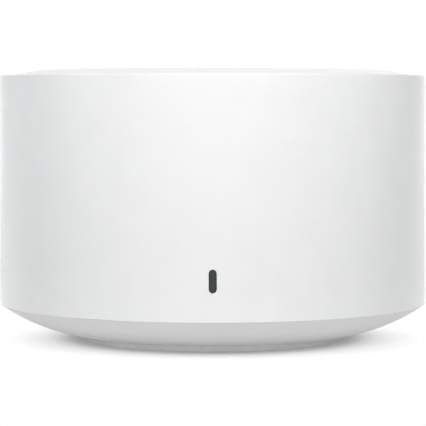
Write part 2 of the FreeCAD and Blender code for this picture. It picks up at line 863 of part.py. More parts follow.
def make_lan_jack(label, x):
    """One network socket: a pressed shield, an insert with the plug cavity, and eight contacts."""
    level = "(board_height + board_thick)"
    half, skin = "(jack_width / 2)", "shield_skin"
    top = f"({level} + jack_height)"
    low_pin = f"({level} + 2.6)"
    cavity_top = f"({low_pin} + plug_height)"

    shield = body(label + "_shield")
    outer = rectangle(sketch(shield, "XZ_Plane", "-jack_face"), f"{x} - {half}", level, f"{x} + {half}", top)
    pad(shield, outer, "jack_depth")
    inner = rectangle(
        sketch(shield, "XZ_Plane", "-jack_face"),
        f"{x} - {half} + {skin}",
        f"{level} + {skin}",
        f"{x} + {half} - {skin}",
        f"{top} - {skin}",
    )
    pocket(shield, inner, f"jack_depth - {skin}", Reversed=True)

    insert = body(label + "_insert")
    fit = f"({skin} + 0.02)"
    block_face = rectangle(
        sketch(insert, "XZ_Plane", "-(jack_face - 0.3)"),
        f"{x} - {half} + {fit}",
        f"{level} + {fit}",
        f"{x} + {half} - {fit}",
        f"{top} - {fit}",
    )
    pad(insert, block_face, "jack_depth - 0.7")
    wide, key, latch = "(plug_width / 2)", "3.2", "1.7"
    cavity = outline(
        sketch(insert, "XZ_Plane", "-(jack_face + 1)"),
        [
            (f"{x} - {wide}", low_pin),
            (f"{x} - {key}", low_pin),
            (f"{x} - {key}", f"{low_pin} - 1.2"),
            (f"{x} - {latch}", f"{low_pin} - 1.2"),
            (f"{x} - {latch}", f"{low_pin} - 2"),
            (f"{x} + {latch}", f"{low_pin} - 2"),
            (f"{x} + {latch}", f"{low_pin} - 1.2"),
            (f"{x} + {key}", f"{low_pin} - 1.2"),
            (f"{x} + {key}", low_pin),
            (f"{x} + {wide}", low_pin),
            (f"{x} + {wide}", cavity_top),
            (f"{x} - {wide}", cavity_top),
        ],
    )
    pocket(insert, cavity, "plug_depth + 1.3", Reversed=True)

    contacts = body(label + "_contacts")
    start = f"{x} - 1.02 * 3.5 - 0.2"
    wire = outline(
        sketch(contacts, "YZ_Plane", start),
        [
            ("jack_face - 2.5", f"{cavity_top} - 0.05"),
            ("jack_face - 11.5", f"{cavity_top} - 2.6"),
            ("jack_face - 11.5", f"{cavity_top} - 2.2"),
            ("jack_face - 4.0", f"{cavity_top} - 0.05"),
        ],
    )
    linear(contacts, [pad(contacts, wire, "0.4")], "X_Axis", "1.02", CONTACTS_PER_JACK)


def make_power_jack():
    """A small reversible power socket: a rolled shell and the contact tongue inside it."""
    level = "(board_height + board_thick)"
    half, skin = "(power_width / 2)", "power_skin"
    shell = body("power_jack_shell")
    outer = rounded_rectangle(
        sketch(shell, "XZ_Plane", "-(panel_back + panel_thick - 0.2)"),
        f"power_x - {half}",
        level,
        f"power_x + {half}",
        f"{level} + power_thick",
        "power_thick * 0.49",
    )
    pad(shell, outer, "power_depth")
    inner = rounded_rectangle(
        sketch(shell, "XZ_Plane", "-(panel_back + panel_thick - 0.2)"),
        f"power_x - {half} + {skin}",
        f"{level} + {skin}",
        f"power_x + {half} - {skin}",
        f"{level} + power_thick - {skin}",
        f"power_thick * 0.49 - {skin}",
    )
    pocket(shell, inner, "power_depth - 1", Reversed=True)
    tongue = block(
        "power_jack_tongue",
        "power_x - 3.35",
        "panel_back + panel_thick - 0.2 - power_depth + 1",
        f"{level} + power_thick / 2 - 0.35",
        "power_x + 3.35",
        "panel_back + panel_thick - 1",
        f"{level} + power_thick / 2 + 0.35",
    )
    keep(tongue, "power_jack_tongue")


def make_switches():
    """The pairing button with its switch, and the reset switch behind the pinhole."""
    level = "(board_height + board_thick)"
    case_face = "(switch_face - 1)"
    for label, x in (("pair_switch", "button_x"), ("reset_switch", "pinhole_x")):
        case = body(label + "_body")
        left, right = f"{x} - switch_width / 2", f"{x} + switch_width / 2"
        drawn = rectangle(sketch(case, "XZ_Plane", f"-{case_face}"), left, level, right, f"{level} + 6")
        pad(case, drawn, "3.6")
        bore = circle(sketch(case, "XZ_Plane", f"-{case_face}"), "1.45", x, "button_height")
        pocket(case, bore, "1.8", Reversed=True)
        stem = body(label + "_stem")
        drawn = circle(sketch(stem, "XZ_Plane", "-switch_face"), "1.35", x, "button_height")
        pad(stem, drawn, "1.9")

    button = body("pair_button")
    back = "(switch_face + 0.05)"
    sleeve = circle(
        sketch(button, "XZ_Plane", f"-{back}"), "button_radius + 0.5", "button_x", "button_height"
    )
    pad(button, sleeve, "0.8", Reversed=True)
    cap = circle(sketch(button, "XZ_Plane", f"-{back}"), "button_radius", "button_x", "button_height")
    pad(button, cap, "3.2", Reversed=True)


# ---------------------------------------------------------------- antennas


def make_antenna_carrier():
    """The moulded frame over the board: a ring on four hollow legs, with a clip pair for each antenna."""
    carrier = body("antenna_carrier")
    ring = sketch(carrier, "XY_Plane", "carrier_height")
    circle(ring, "carrier_radius")
    circle(ring, "carrier_inner_radius")
    pad(carrier, ring, "carrier_thick")
    across = f"screw_circle * cos({SCREW_ANGLE} * 1)"
    level = "(board_height + board_thick)"
    leg = circle(sketch(carrier, "XY_Plane", level), "boss_radius", across, across)
    polar(carrier, [pad(carrier, leg, f"carrier_height + carrier_thick / 2 - {level}")], SCREW_COUNT)
    bore = circle(sketch(carrier, "XY_Plane", level), "screw_radius", across, across)
    polar(carrier, [pocket(carrier, bore, "12.5", Reversed=True)], SCREW_COUNT)
    deck = "(carrier_height + carrier_thick / 2)"
    near = "(antenna_circle - antenna_thick / 2 - antenna_slot_gap)"
    far = "(antenna_circle + antenna_thick / 2 + antenna_slot_gap)"
    for side in ("-", ""):
        clip = outline(
            sketch(carrier, "XY_Plane", deck),
            [
                (f"{near} - 1.6", f"{side}(antenna_width / 2 - 3)"),
                (f"{far} + 1.6", f"{side}(antenna_width / 2 - 3)"),
                (f"{far} + 1.6", f"{side}(antenna_width / 2 + 1.4)"),
                (f"{near} - 1.6", f"{side}(antenna_width / 2 + 1.4)"),
            ],
        )
        polar(carrier, [pad(carrier, clip, "8")], len(ANTENNA_NAMES))
    groove = rectangle(
        sketch(carrier, "XY_Plane", "carrier_height + carrier_thick"),
        near,
        "-(antenna_width / 2 + antenna_slot_gap)",
        far,
        "antenna_width / 2 + antenna_slot_gap",
    )
    polar(carrier, [pocket(carrier, groove, "9", Reversed=True)], len(ANTENNA_NAMES))
    window = rounded_rectangle(
        sketch(carrier, "XY_Plane", "carrier_height + carrier_thick"), "29", "-8", "38", "8", "2"
    )
    polar(carrier, [pocket(carrier, window, "carrier_thick + 1")], len(ANTENNA_NAMES))


def turned(base, turn):
    """Placement of a quarter-turn copy about the vertical axis."""
    return FreeCAD.Placement(Vector(0, 0, 0), FreeCAD.Rotation(DOWN_THE_AXIS, turn)) * base


def make_antennas():
    """Four upright antenna boards in the clips, each with a copper radiator on its outer face."""
    low = "(carrier_height + carrier_thick)"
    half = "(antenna_width / 2)"
    for k, name in enumerate(ANTENNA_NAMES):
        plate = body("antenna_" + name)
        drawn = rectangle(
            sketch(plate, "XY_Plane", low),
            "antenna_circle - antenna_thick / 2",
            f"-{half}",
            "antenna_circle + antenna_thick / 2",
            half,
        )
        pad(plate, drawn, "antenna_tall")
        trace = body("antenna_trace_" + name)
        t = f"({low} + 9)"
        copper = outline(
            sketch(trace, "YZ_Plane", "antenna_circle + antenna_thick / 2"),
            [
                ("-9", t),
                ("9", t),
                ("9", f"{t} + 4"),
                ("1", f"{t} + 4"),
                ("1", f"{t} + 7"),
                ("9", f"{t} + 7"),
                ("9", f"{t} + 13"),
                ("6.5", f"{t} + 13"),
                ("6.5", f"{t} + 9.5"),
                ("-6.5", f"{t} + 9.5"),
                ("-6.5", f"{t} + 13"),
                ("-9", f"{t} + 13"),
                ("-9", f"{t} + 7"),
                ("-1", f"{t} + 7"),
                ("-1", f"{t} + 4"),
                ("-9", f"{t} + 4"),
            ],
        )
        pad(trace, copper, "trace_thick")
        for piece in (plate, trace):
            piece.Placement = turned(piece.Placement, 90 * k - 90)


def rounded_route(points, share=0.45):
    """A wire of straight runs joined by tangent arcs as large as the two runs at each corner allow."""
    corners = [Vector(*p) for p in points]
    edges, at = [], corners[0]
    for before, corner, after in zip(corners, corners[1:], corners[2:]):
        back, on = (before - corner), (after - corner)
        reach = share * min(back.Length, on.Length)
        back.normalize()
        on.normalize()
        turn = math.pi - back.getAngle(on)
        radius = reach / math.tan(turn / 2)
        print(f"cable bend radius {radius:.1f} mm, turn {math.degrees(turn):.0f} degrees")
        start, end = corner + back * reach, corner + on * reach
        centre = corner + (back + on).normalize() * (radius / math.cos(turn / 2))
        middle = centre + (corner - centre).normalize() * radius
        edges += [Part.LineSegment(at, start).toShape(), Part.Arc(start, middle, end).toShape()]
        at = end
    edges.append(Part.LineSegment(at, corners[-1]).toShape())
    return Part.Wire(edges)


def make_coax():
    """The thin coaxial leads from the board up through the carrier's windows to the antennas."""
    plug_top = size("board_height + board_thick") + 1.3
    deck = size("carrier_height + carrier_thick")
    radius = size("coax_radius")
    face = size("antenna_circle - antenna_thick / 2")
    climb = [(35.0, -0.5, deck + 1.0), (37.5, 1.5, deck + 7.5), (face - radius - 0.05, 0.0, deck + 14.5)]
    starts = {
        "front": [(42.0, -6.0, plug_top), (42.0, -6.0, plug_top + 6.0), (34.5, -5.0, plug_top + 12.0)],
        "right": [(42.0, -3.0, plug_top), (42.0, -3.0, plug_top + 6.0), (34.5, -5.0, plug_top + 12.0)],
        "rear": [(28.0, 15.5, plug_top), (28.0, 15.5, plug_top + 14.5), (33.0, 4.5, plug_top + 15.0)],
        "left": [(42.0, -3.0, plug_top), (42.0, -3.0, plug_top + 6.0), (34.5, -5.0, plug_top + 12.0)],
    }
    plugs = []
    for k, name in enumerate(ANTENNA_NAMES):
        points = starts[name] + climb
        route = rounded_route(points)
        disc = Part.Wire(Part.makeCircle(radius, Vector(*points[0]), DOWN_THE_AXIS))
        tube = route.makePipeShell([disc], True, False)
        if abs(tube.Volume / (math.pi * radius**2 * route.Length) - 1) > 0.01:
            raise RuntimeError(f"the lead to the {name} antenna is not swept cleanly")
        lead = doc.addObject("Part::Feature", "coax_" + name)
        lead.Shape = tube
        lead.Placement = turned(lead.Placement, 90 * k - 90)
        keep(lead, "coax_" + name)
        foot = Part.makeCylinder(1.2, 1.3, Vector(points[0][0], points[0][1], plug_top - 1.3))
        foot.Placement = turned(foot.Placement, 90 * k - 90)
        plugs.append(foot)
    feet = doc.addObject("Part::Feature", "coax_plugs")
    feet.Shape = Part.makeCompound(plugs)
    keep(feet, "coax_plugs")


# ---------------------------------------------------------------- fasteners


def make_case_screws():
    """Four screws from under the foot ring, through the bosses and board, into the carrier's legs."""
    screws = body("case_screws")
    across = f"screw_circle * cos({SCREW_ANGLE} * 1)"
    head_low = "(screw_seat - screw_head_height)"
    head = circle(sketch(screws, "XY_Plane", head_low), "screw_head_radius", across, across)
    shank = circle(sketch(screws, "XY_Plane", f"{head_low} + 1"), "screw_radius", across, across)
    drive = circle(sketch(screws, "XY_Plane", f"{head_low} - 1"), "1.1", across, across)
    steps = [
        pad(screws, head, "screw_head_height"),
        pad(screws, shank, "screw_length"),
        pocket(screws, drive, "2.2", Reversed=True),
    ]
    polar(screws, steps, SCREW_COUNT)


# ---------------------------------------------------------------- build, check and write


def build():
    make_drum_shell()
    make_top_cover()
    make_base_cup()
    make_foot_ring()
    make_rating_label()
    make_status_window()
    make_main_board()
    make_chips()
    make_shields()
    make_cooling()
    make_port_bezel()
    for label, x in LAN_JACKS:
        make_lan_jack(label, x)
    make_power_jack()
    make_switches()
    make_antenna_carrier()
    make_antennas()
    make_coax()
    make_case_screws()
    doc.recompute()


def check():
    """Stops if any object failed or any sub-part is not a sound solid."""
    for item in doc.Objects:
        if {"Invalid", "Error"} & set(item.State):
            raise RuntimeError(f"{item.Label} failed: {item.State}")
    for item in kept:
        if item.Shape.isNull() or not item.Shape.isValid() or not item.Shape.Solids:
            raise RuntimeError(f"{item.Label} is not a sound solid")


def write():
    os.makedirs("parts", exist_ok=True)
    for item in kept:
        item.Shape.exportStep(os.path.join("parts", item.Label + ".step"))
        print(f"{item.Label}: {len(item.Shape.Solids)} solid(s), {item.Shape.Volume:.1f} mm3")


build()
check()
write()
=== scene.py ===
"""Looks for the mesh wifi node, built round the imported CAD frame. Metres, +Z up, front on -Y.

Five CAD nodes are replaced by finer meshes of the same size, and four small lamp windows are added to
the network sockets. The other nodes keep their CAD meshes, with new materials and soft edges.
"""

import json
import math

import bmesh
import bpy
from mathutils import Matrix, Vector
from mathutils.geometry import delaunay_2d_cdt


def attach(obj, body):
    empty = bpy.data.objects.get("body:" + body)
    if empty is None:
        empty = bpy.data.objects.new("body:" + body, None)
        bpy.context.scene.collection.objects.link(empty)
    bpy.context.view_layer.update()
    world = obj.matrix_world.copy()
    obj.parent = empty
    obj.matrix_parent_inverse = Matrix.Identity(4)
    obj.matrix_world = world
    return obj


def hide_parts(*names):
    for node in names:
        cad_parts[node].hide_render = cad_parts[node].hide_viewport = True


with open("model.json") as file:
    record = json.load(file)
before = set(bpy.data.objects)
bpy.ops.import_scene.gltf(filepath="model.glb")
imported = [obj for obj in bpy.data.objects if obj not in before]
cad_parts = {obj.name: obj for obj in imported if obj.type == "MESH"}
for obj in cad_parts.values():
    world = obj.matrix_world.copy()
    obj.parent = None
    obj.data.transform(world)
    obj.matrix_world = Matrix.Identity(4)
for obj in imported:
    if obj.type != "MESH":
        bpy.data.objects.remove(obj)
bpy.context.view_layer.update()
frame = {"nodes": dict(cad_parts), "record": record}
nodes = frame["nodes"]
scene = bpy.context.scene
MM = 0.001

# ---------------------------------------------------------------- camera

EYE = Vector((0, -0.530, 0.0596))
PITCH_DOWN = math.radians(3.08)
FOCAL_LENGTH = 179.2
SENSOR_WIDTH = 36
SHIFT_X = 0.0007
CLIP_START, CLIP_END = 0.01, 20


def make_camera():
    data = bpy.data.cameras.new("camera")
    data.lens = FOCAL_LENGTH
    data.sensor_width = SENSOR_WIDTH
    data.clip_start = CLIP_START
    data.clip_end = CLIP_END
    data.shift_x = SHIFT_X
    camera = bpy.data.objects.new("camera", data)
    camera.location = EYE
    camera.rotation_euler = (math.pi / 2 - PITCH_DOWN, 0, 0)
    scene.collection.objects.link(camera)
    scene.camera = camera


# ---------------------------------------------------------------- light

# The world's strength as the camera sees it behind everything, and as reflections see it. It lights
# nothing else.
BACKDROP_STRENGTH = 1.05
SURROUND_STRENGTH = 0.043

# Area lights: place, the point they face, (width, height), all in metres, and power in watts.
# These light everything but the paper.
BODY_LIGHTS = {
    "front_wide": ((0, -0.9, 0.10), (0, 0, 0.03), (1.6, 0.12), 2.86),
    "key_near": ((0.06, -0.42, 0.36), (0, -0.04, 0.045), (0.3, 0.2), 0.94),
    "top_near": ((0.02, -0.16, 0.50), (0, 0, 0.05), (0.4, 0.4), 1.3),
    "side_left": ((-1.1, -0.35, 0.35), (0, 0, 0.03), (0.5, 0.6), 2.73),
    "side_right": ((1.1, -0.35, 0.35), (0, 0, 0.03), (0.5, 0.6), 1.58),
    "rear_soft": ((0.1, 1.2, 0.55), (0, 0, 0.03), (1.0, 0.8), 4.4),
    "rim_left": ((-0.45, 1.1, 0.25), (0, 0, 0.03), (0.4, 0.5), 1.45),
    "rim_right": ((0.45, 1.1, 0.25), (0, 0, 0.03), (0.4, 0.5), 1.93),
}
# These stand behind and light only the side wall, for the thin bright edges at its two sides.
WALL_LIGHTS = {
    "edge_left": ((-0.30, 0.34, 0.03), (0, 0, 0.03), (0.3, 0.1), 0.067),
    "edge_right": ((0.30, 0.34, 0.03), (0, 0, 0.03), (0.3, 0.1), 0.076),
    "low_left": ((-0.30, 0.34, -0.08), (0, 0, 0.03), (0.3, 0.1), 0.147),
    "low_right": ((0.30, 0.34, -0.08), (0, 0, 0.03), (0.3, 0.1), 0.167),
    "far_left": ((-0.9, 0.62, 0.03), (0, 0, 0.03), (0.3, 0.5), 0.58),
}
# These light only the paper.
FLOOR_LIGHTS = {
    "floor_back": ((0, 1.4, 0.8), (0, 0, 0), (2.4, 0.6), 7.6),
    "floor_over": ((0, 0, 1.5), (0, 0, 0), (3.0, 3.0), 17.0),
    "floor_high": ((0, -1.2, 1.3), (0, 0, 0), (2.0, 0.8), 1.4),
    "floor_left": ((-1.2, -1.1, 0.7), (0, 0, 0), (1.0, 0.5), 1.4),
}
WHITE = (1, 1, 1)
COOL = {"side_left": (0.93, 0.965, 1.0), "side_right": (0.90, 0.95, 1.0)}

# Glow of the paper and of the bounce plane under it: (distance from the middle in metres, strength). The
# paper's glow is dim near the middle, a painted contact shadow round the object's foot; the bounce plane,
# which the camera doesn't see, glows to light the object from below.
FLOOR_GLOW_AND_SHADOW = (
    (0.0335, 0.05),
    (0.035, 0.11),
    (0.0365, 0.21),
    (0.038, 0.30),
    (0.0415, 0.45),
    (0.045, 0.54),
    (0.05, 0.575),
    (0.15, 0.60),
    (0.7, 1.05),
)
BOUNCE_GLOW = ((0.04, 0.21), (0.055, 0.326), (0.08, 0.0), (0.13, 0.0), (0.3, 0.195), (1.0, 1.26))


def area_lights(settings, multiple_sampling=True):
    """The lights of one table. A light below the floor loses power if multiple_sampling is on."""
    lights = []
    for name, (place, target, size, power) in settings.items():
        data = bpy.data.lights.new(name, "AREA")
        data.shape = "RECTANGLE"
        data.size, data.size_y = size
        data.energy = power
        data.color = COOL.get(name, WHITE)
        data.cycles.use_multiple_importance_sampling = multiple_sampling
        light = bpy.data.objects.new(name, data)
        light.location = place
        facing = Vector(target) - Vector(place)
        light.rotation_euler = facing.to_track_quat("-Z", "Y").to_euler()
        light.visible_camera = False
        scene.collection.objects.link(light)
        lights.append(light)
    return lights


def link_lights(lights, name, receiver, state="INCLUDE"):
    """Lets lights reach one object only, or all but that object with state EXCLUDE."""
    group = bpy.data.collections.new(name)
    group.objects.link(receiver)
    group.collection_objects[0].light_linking.link_state = state
    for light in lights:
        light.light_linking.receiver_collection = group


def background(tree, strength):
    node = tree.nodes.new("ShaderNodeBackground")
    node.inputs["Color"].default_value = (*WHITE, 1)
    node.inputs["Strength"].default_value = strength
    return node.outputs[0]


def choose(tree, factor, otherwise, chosen):
    node = tree.nodes.new("ShaderNodeMixShader")
    tree.links.new(factor, node.inputs["Fac"])
    tree.links.new(otherwise, node.inputs[1])
    tree.links.new(chosen, node.inputs[2])
    return node.outputs[0]


def make_world():
    """White to the camera, faint in reflections, and dark to everything else."""
    world = bpy.data.worlds.new("studio")
    world.use_nodes = True
    tree = world.node_tree
    tree.nodes.clear()
    ray = tree.nodes.new("ShaderNodeLightPath").outputs
    dark, surround = background(tree, 0), background(tree, SURROUND_STRENGTH)
    unseen = choose(tree, ray["Is Glossy Ray"], dark, surround)
    world_color = choose(tree, ray["Is Camera Ray"], unseen, background(tree, BACKDROP_STRENGTH))
    output = tree.nodes.new("ShaderNodeOutputWorld")
    tree.links.new(world_color, output.inputs["Surface"])
    world.cycles.sampling_method = "NONE"
    scene.world = world


# ---------------------------------------------------------------- mesh tools

STEPS = 288  # round the axis
ARC_STEP = math.radians(18)  # largest turn between two points of a rounded corner


class Build:
    """Collects points, given in millimetres, their surface normals, and faces, for one smooth mesh."""

    def __init__(self):
        self.points, self.normals, self.faces = [], [], []

    def point(self, place, normal):
        self.points.append(tuple(c * MM for c in place))
        self.normals.append(Vector(normal).normalized())
        return len(self.points) - 1

    def loop(self, places, normals):
        return [self.point(p, n) for p, n in zip(places, normals)]

    def skin(self, loops):
        """Joins each loop to the next."""
        for one, two in zip(loops, loops[1:]):
            for k in range(len(one)):
                after = (k + 1) % len(one)
                self.faces.append((one[k], one[after], two[after], two[k]))

    def fan(self, loop, middle):
        for k in range(len(loop)):
            self.faces.append((loop[k], loop[(k + 1) % len(loop)], middle))

    def make(self, name, material, body="housing", replaces=()):
        """The piece, with only the points that its faces use."""
        used = sorted({index for face in self.faces for index in face})
        place_of = {index: place for place, index in enumerate(used)}
        points = [self.points[index] for index in used]
        faces = [[place_of[index] for index in face] for face in self.faces]
        mesh = bpy.data.meshes.new(name)
        mesh.from_pydata(points, [], faces)
        work = bmesh.new()
        work.from_mesh(mesh)
        bmesh.ops.recalc_face_normals(work, faces=work.faces)
        work.to_mesh(mesh)
        work.free()
        mesh.shade_smooth()
        mesh.normals_split_custom_set_from_vertices([self.normals[index] for index in used])
        mesh.materials.append(material)
        piece = bpy.data.objects.new(name, mesh)
        scene.collection.objects.link(piece)
        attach(piece, body)
        if replaces:
            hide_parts(*replaces)
        return piece


def unit(across, up):
    length = math.hypot(across, up)
    return across / length, up / length


def circle(count):
    """Directions round a circle."""
    turns = [2 * math.pi * k / count for k in range(count)]
    return [(math.cos(turn), math.sin(turn)) for turn in turns]


def rounded(corners, closed=True):
    """An outline (u, v, nu, nv) through corners (u, v, radius), each rounded by its radius. The surface
    faces the right-hand side of the direction of travel."""
    line = []
    last = len(corners) - 1
    for k, (u, v, radius) in enumerate(corners):
        before, after = corners[k - 1], corners[(k + 1) % len(corners)]
        come = unit(u - before[0], v - before[1])
        go = unit(after[0] - u, after[1] - v)
        if not closed and k in (0, last):
            way = go if k == 0 else come
            line.append((u, v, way[1], -way[0]))
            continue
        turn = math.atan2(come[0] * go[1] - come[1] * go[0], come[0] * go[0] + come[1] * go[1])
        cut = radius * abs(math.tan(turn / 2))
        start = (u - come[0] * cut, v - come[1] * cut)
        side = math.copysign(1, turn)
        centre = (start[0] - side * come[1] * radius, start[1] + side * come[0] * radius)
        pieces = max(2, math.ceil(abs(turn) / ARC_STEP))
        for j in range(pieces + 1):
            angle = math.atan2(come[1], come[0]) + turn * j / pieces
            nu, nv = math.sin(angle), -math.cos(angle)
            line.append((centre[0] + side * nu * radius, centre[1] + side * nv * radius, nu, nv))
    return line


def spun(build, profile):
    """Loops round the axis for each profile point (r, z, nr, nz), each starting at the front."""
    loops = []
    for r, z, nr, nz in profile:
        places, normals = [], []
        for k in range(STEPS):
            angle = 2 * math.pi * k / STEPS
            s, c = math.sin(angle), -math.cos(angle)
            places.append((r * s, r * c, z))
            normals.append((nr * s, nr * c, nz))
        loops.append(build.loop(places, normals))
    return loops


def pill_loop(middle, half_width, half_height, radius, across, down, lean):
    """A rounded rectangle as (x, z, nx, nz), clockwise from its upper left. Its four sides, divided at
    the middle of each corner, have across, down, across and down steps. Each end of a side gives the
    share lean of its steps to the corner there, or half of them where the side has no straight part."""
    cx, cz = middle
    reach_x, reach_z = half_width - radius, half_height - radius
    sides = (
        ((-1, 1), (1, 1), across, reach_x),
        ((1, 1), (1, -1), down, reach_z),
        ((1, -1), (-1, -1), across, reach_x),
        ((-1, -1), (-1, 1), down, reach_z),
    )
    line = []
    for (ax, az), (bx, bz), steps, straight in sides:
        bend = steps / 2 if straight < 1e-6 else max(2, round(steps * lean))
        face = math.atan2((az + bz) / 2, (ax + bx) / 2)
        for k in range(steps):
            share = min(1, max(0, (k - bend) / max(1, steps - 2 * bend)))
            first, second = max(0, 1 - k / bend), max(0, (k - steps + bend) / bend)
            angle = face + math.radians(45) * (first - second)
            nx, nz = math.cos(angle), math.sin(angle)
            x = cx + (ax + (bx - ax) * share) * reach_x + nx * radius
            z = cz + (az + (bz - az) * share) * reach_z + nz * radius
            line.append((x, z, nx, nz))
    return line


# ---------------------------------------------------------------- sizes, in millimetres

# side wall: radii, heights, and the rounding of its top and foot
OUTER, INNER = 53.0, 50.8
CREASE, RIM = 9.05, 65.4
RIM_ROUND, CREASE_ROUND = 0.35, 0.08
INNER_LOW = CREASE + 0.9

# the step inside the rim that the cover lies in, and the ledge it rests on, which slopes back to the wall
# from its underside down to its foot
LIP, LEDGE, LEDGE_TOP = 51.6, 48.8, 63.2
LEDGE_UNDER = LEDGE_TOP - 1.6
LEDGE_FOOT = LEDGE_TOP - 3.6

# openings in the wall: middle height, then half width, half height and corner
SLOT_HEIGHT = 18.4
SLOT = (0.9, 2.7, 0.9)
ALCOVE_HEIGHT = 22.2
ALCOVE = (30.0, 10.0, 3.0)
INSIDE_CHAMFER = 0.15

# cover: top, thickness, where its flat part ends, and the radius it curves down on from there; where the
# curve ends on top and underneath, and the edge; then its skirt's two radii and heights
CROWN, COVER_THICK = 66.8, 1.8
COVER_UNDER = CROWN - COVER_THICK
PLATE_TURN, CROWN_BEND = 39.0, 40.0
CROWN_EDGE, UNDER_EDGE, COVER_EDGE = 51.1, 46.6, 51.5
SKIRT, SKIRT_INNER, SKIRT_LOW, SKIRT_TOP = 48.7, 47.3, 59.8, 64.13

# vents: radius of the field they lie in, their rings, how many stand in the first, the spacing; then a
# vent's radius, its round mouth on top, its chamfer underneath, and the steps round it
VENT_FIELD, VENT_RINGS, FIRST_VENTS, VENT_PITCH = 33.0, 10, 6, 3.0
VENT, VENT_ROUND, VENT_CHAMFER, VENT_STEPS = 0.75, 0.13, 0.05, 18

# foot ring: height, radii, and the groove in its tread
FOOT_HEIGHT, FOOT_INNER, FOOT_OUTER = 1.8, 25.2, 33.3
GROOVE_INNER, GROOVE_OUTER, GROOVE_DEPTH, GROOVE_SLOPE = 28.0, 30.1, 0.35, 0.25

# status window: half width, half height and corner of the plug and its flange, and their faces in y
PLUG, PLUG_BACK, PLUG_FRONT = (0.85, 2.65, 0.85), -50.65, -52.65
FLANGE, FLANGE_BACK, FLANGE_FRONT = (2.1, 3.9, 0.5), -49.85, -50.66

# pairing button: middle in x and z, radius, faces in y, round edge, depth of its dish, steps round it;
# then how far its collar stands out, the collar's face in y, and its chamfer
BUTTON = (25.2, 19.2)
BUTTON_RADIUS, BUTTON_BACK, BUTTON_FACE = 2.7, 40.15, 43.35
BUTTON_ROUND, BUTTON_DISH, BUTTON_STEPS = 0.35, 0.22, 48
COLLAR, COLLAR_FACE, COLLAR_CHAMFER = 0.5, 40.95, 0.08

# lamp windows: middles of the two network sockets, distance to each side, height, shape and faces in y
SOCKETS = {"one": -4.5, "two": 12.8}
LAMP_SIDE, LAMP_HEIGHT = 5.6, 27.0
LAMP, LAMP_BACK, LAMP_FRONT = (1.5, 0.8, 0.3), 41.7, 42.14


# ---------------------------------------------------------------- drum shell

# the wall's grid of rows between its two ends
ROW_START, ROW, ROWS = 10.8, 1.05, 22
WINDOW_ROWS = [ROW_START + ROW * k for k in range(ROWS + 1)]
# openings in the grid: middle column, columns each side, first row and row count; side of the drum (-1
# is the front); middle and shape of the hole, its round edge, and the lean of its pill_loop
WINDOWS = (
    {
        "column": 0, "reach": 3, "first": 3, "rows": 9, "side": -1,
        "hole": ((0.0, SLOT_HEIGHT), *SLOT), "round": 0.16, "lean": 0.33,
    },
    {
        "column": STEPS // 2, "reach": 30, "first": 0, "rows": ROWS, "side": 1,
        "hole": ((0.0, ALCOVE_HEIGHT), *ALCOVE), "round": 0.3, "lean": 0.1,
    },
)
MOUTH_SHARES = (0.35, 0.7)  # where loops lie between the grid and a hole's mouth
MOUTH_STEPS = 4  # over a hole's round edge


def wall_point(radius, angle, z):
    return (radius * math.sin(angle), -radius * math.cos(angle), z)


def in_window(window, row, column):
    away = (column - window["column"] + STEPS // 2) % STEPS - STEPS // 2
    across = -window["reach"] <= away < window["reach"]
    return across and window["first"] <= row < window["first"] + window["rows"]


def wall_skin(build, radius, low, high, facing):
    """The cylinder from low to high, open in each window. Returns its loops and each window's edge."""
    rows = [low, *WINDOW_ROWS, high]
    angles = [2 * math.pi * k / STEPS for k in range(STEPS)]
    outward = [(facing * math.sin(a), -facing * math.cos(a), 0) for a in angles]
    grid = [build.loop([wall_point(radius, a, z) for a in angles], outward) for z in rows]
    for j in range(len(rows) - 1):
        for k in range(STEPS):
            if not any(in_window(window, j - 1, k) for window in WINDOWS):
                after = (k + 1) % STEPS
                build.faces.append((grid[j][k], grid[j][after], grid[j + 1][after], grid[j + 1][k]))
    return grid, [window_edge(grid, window) for window in WINDOWS]


def window_edge(grid, window):
    """The grid's loop round a window, clockwise from its upper left in (x, z)."""
    low = window["first"] + 1
    high = low + window["rows"]
    middle, reach = window["column"], window["reach"]
    columns = [(middle + k) % STEPS for k in range(-reach, reach + 1)]
    if window["side"] > 0:
        columns.reverse()
    edge = [grid[high][c] for c in columns[:-1]]
    edge += [grid[j][columns[-1]] for j in range(high, low, -1)]
    edge += [grid[low][c] for c in reversed(columns[1:])]
    edge += [grid[j][columns[0]] for j in range(low, high)]
    return edge


def hole_loop(build, window, radius, spread, tilt, facing):
    """The window's hole at a cylinder radius, its outline moved out by spread. tilt is the normal's
    turn from the wall's own direction to the hole's."""
    steps = 2 * window["reach"], window["rows"]
    places, normals = [], []
    for x, z, nx, nz in pill_loop(*window["hole"], *steps, window["lean"]):
        x, z = x + nx * spread, z + nz * spread
        depth = math.sqrt(radius ** 2 - x ** 2)
        places.append((x, window["side"] * depth, z))
        out = (x / radius, window["side"] * depth / radius)
        c, s = math.cos(tilt) * facing, math.sin(tilt)
        normals.append((out[0] * c - nx * s, out[1] * c, -nz * s))
    return build.loop(places, normals)


def between(build, one, two, share, radius, facing):
    """A loop between two loops on the same cylinder."""
    places, normals = [], []
    for a, b in zip(one, two):
        pa, pb = build.points[a], build.points[b]
        spin = [math.atan2(p[0], -p[1]) for p in (pa, pb)]
        turn = (spin[1] - spin[0] + math.pi) % (2 * math.pi) - math.pi
        angle = spin[0] + turn * share
        z = (pa[2] + (pb[2] - pa[2]) * share) / MM
        places.append(wall_point(radius, angle, z))
        normals.append((facing * math.sin(angle), -facing * math.cos(angle), 0))
    return build.loop(places, normals)


